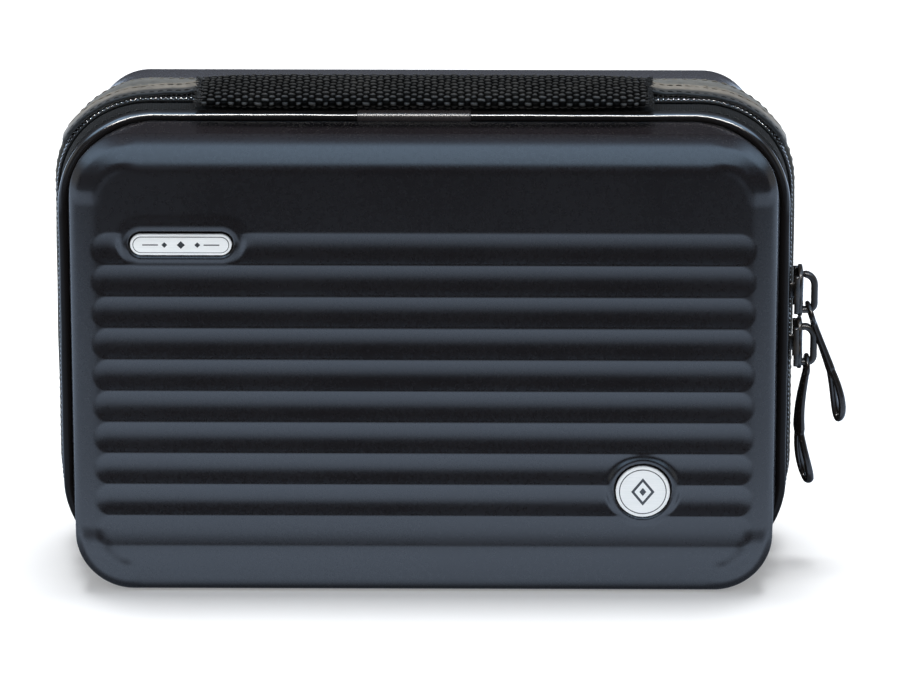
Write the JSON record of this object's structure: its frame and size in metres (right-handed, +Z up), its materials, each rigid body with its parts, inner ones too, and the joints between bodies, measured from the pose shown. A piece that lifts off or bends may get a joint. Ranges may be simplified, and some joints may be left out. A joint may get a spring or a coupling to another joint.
{
  "type": "miniature carry case",
  "caption": "Upright hard-shell mini carry case with ribbed faces, piped edges, wrap-round zip, padded top handle and a fabric hinge, fitted inside for cards and dice.",
  "frame": {"origin": "centre of the flat resting face under the bottom hinge, midway between the front and rear faces", "axes": "+X to the right seen from the front, +Y from the front face to the rear face, +Z up"},
  "size_m": [0.2058, 0.0622, 0.1316],
  "materials": {
    "shell": "satin",
    "piping": "gloss",
    "piping_sleeve": "satin",
    "zip_tape": "matte",
    "zip_coil": "gloss",
    "gusset_fabric": "matte",
    "board": "matte",
    "binding": "matte",
    "hinge_fabric": "matte",
    "lining": "matte",
    "slider_metal": "gloss",
    "pull_metal": "gloss",
    "grip_webbing": "matte",
    "grip_foam": "matte",
    "strap_leather": "matte",
    "plate_white": "gloss",
    "adhesive": "matte",
    "tray_foam": "matte",
    "elastic": "matte",
    "mesh": "matte"
  },
  "bodies": {
    "case": {"rear_shell": "shell", "rear_piping": "piping", "rear_piping_sleeve": "piping_sleeve", "rear_zip_tape": "zip_tape", "rear_zip_coil": "zip_coil", "zip_end_stops": "zip_coil", "gusset_band": "gusset_fabric", "gusset_board": "board", "rear_seam_binding": "binding", "hinge_strip": "hinge_fabric", "hinge_liner": "lining", "strap_end_patch_left": "strap_leather", "strap_end_patch_right": "strap_leather", "rear_liner": "lining", "insert_tray": "tray_foam", "card_strap_left": "elastic", "card_strap_right": "elastic"},
    "lid": {"front_shell": "shell", "front_piping": "piping", "front_piping_sleeve": "piping_sleeve", "front_zip_tape": "zip_tape", "front_zip_coil": "zip_coil", "front_seam_binding": "binding", "nameplate": "plate_white", "nameplate_adhesive": "adhesive", "round_badge": "plate_white", "badge_adhesive": "adhesive", "front_liner": "lining", "lid_mesh_pocket": "mesh", "pocket_binding": "binding"},
    "upper_slider": {"upper_slider": "slider_metal", "upper_slider_bridge": "slider_metal"},
    "lower_slider": {"lower_slider": "slider_metal", "lower_slider_bridge": "slider_metal"},
    "upper_pull": {"upper_pull": "pull_metal"},
    "lower_pull": {"lower_pull": "pull_metal"},
    "handle": {"handle_grip_sleeve": "grip_webbing", "handle_grip_core": "grip_foam", "handle_strap": "strap_leather"}
  },
  "joints": [
    {"name": "lid_open", "type": "hinge", "parent": "case", "child": "lid", "pos_m": [0, -0.005, 0], "axis": [1, 0, 0], "range_deg": [0, 178], "deforming": ["front_zip_tape", "front_zip_coil", "hinge_strip", "hinge_liner"]},
    {"name": "upper_slider_travel", "type": "slide", "parent": "case", "child": "upper_slider", "axis": [0, 0, 1], "range_m": [0, 0.018]},
    {"name": "lower_slider_travel", "type": "slide", "parent": "case", "child": "lower_slider", "axis": [0, 0, 1], "range_m": [-0.02, 0]},
    {"name": "upper_pull_swing", "type": "hinge", "parent": "upper_slider", "child": "upper_pull", "pos_m": [0.0991, -0.005, 0.0706], "axis": [0, -1, 0], "range_deg": [0, 95]},
    {"name": "lower_pull_swing", "type": "hinge", "parent": "lower_slider", "child": "lower_pull", "pos_m": [0.0991, -0.005, 0.0562], "axis": [0, -1, 0], "range_deg": [0, 14]},
    {"name": "handle_lift", "type": "slide", "parent": "case", "child": "handle", "axis": [0, 0, 1], "range_m": [0, 0.008], "deforming": ["handle_strap"]}
  ]
}
